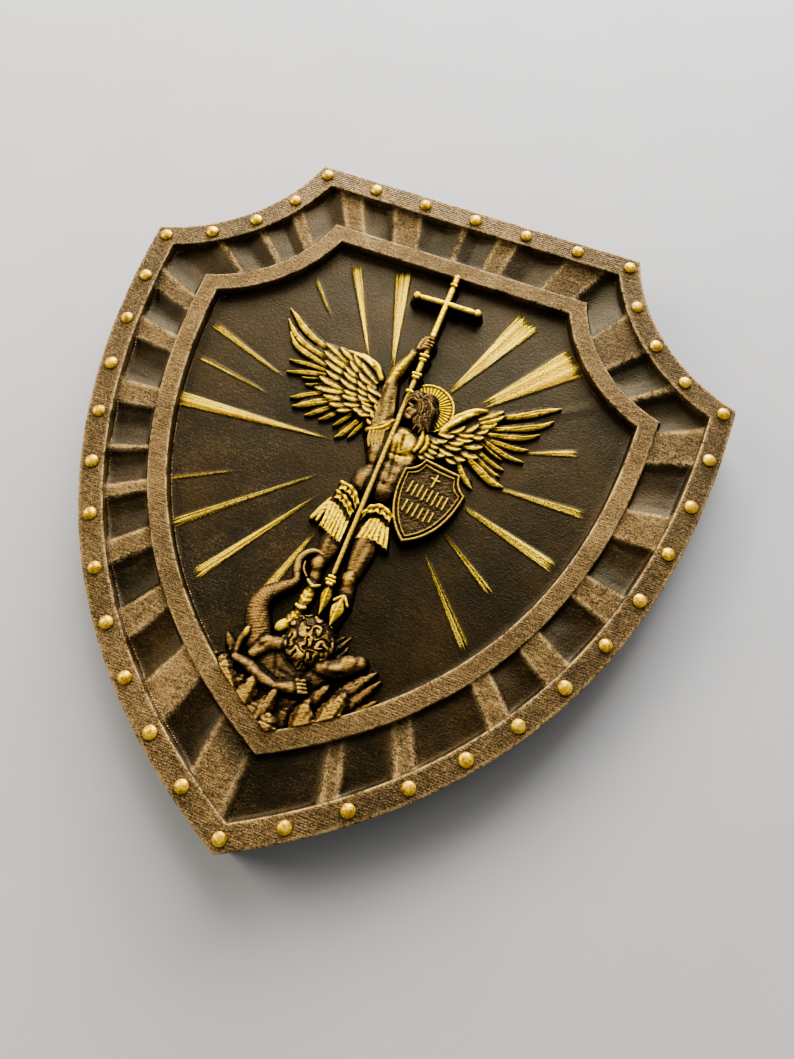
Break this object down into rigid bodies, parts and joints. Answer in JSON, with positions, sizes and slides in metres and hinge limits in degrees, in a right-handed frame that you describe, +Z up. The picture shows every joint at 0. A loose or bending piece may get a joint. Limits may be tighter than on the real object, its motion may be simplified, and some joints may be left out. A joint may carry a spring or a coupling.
{
  "type": "carved wooden shield plaque",
  "caption": "Flat-backed wooden shield for a wall, with a riveted rim, a ribbed band, a border and a winged figure carved in the sunk field.",
  "frame": {"origin": "on the flat back, behind the point where the sun rays of the field meet", "axes": "+Z up the plaque, +X to the viewer's right, and +Y out of the flat back into the wall, so the carved front faces -Y"},
  "size_m": [0.2, 0.0192, 0.2189],
  "materials": {
    "stained_wood": "dark stained and satin varnished wood, with bronze dry brushing on the raised edges and gold paint on parts of the carving"
  },
  "bodies": {
    "root": {"shield_plaque": "stained_wood"}
  },
  "joints": []
}
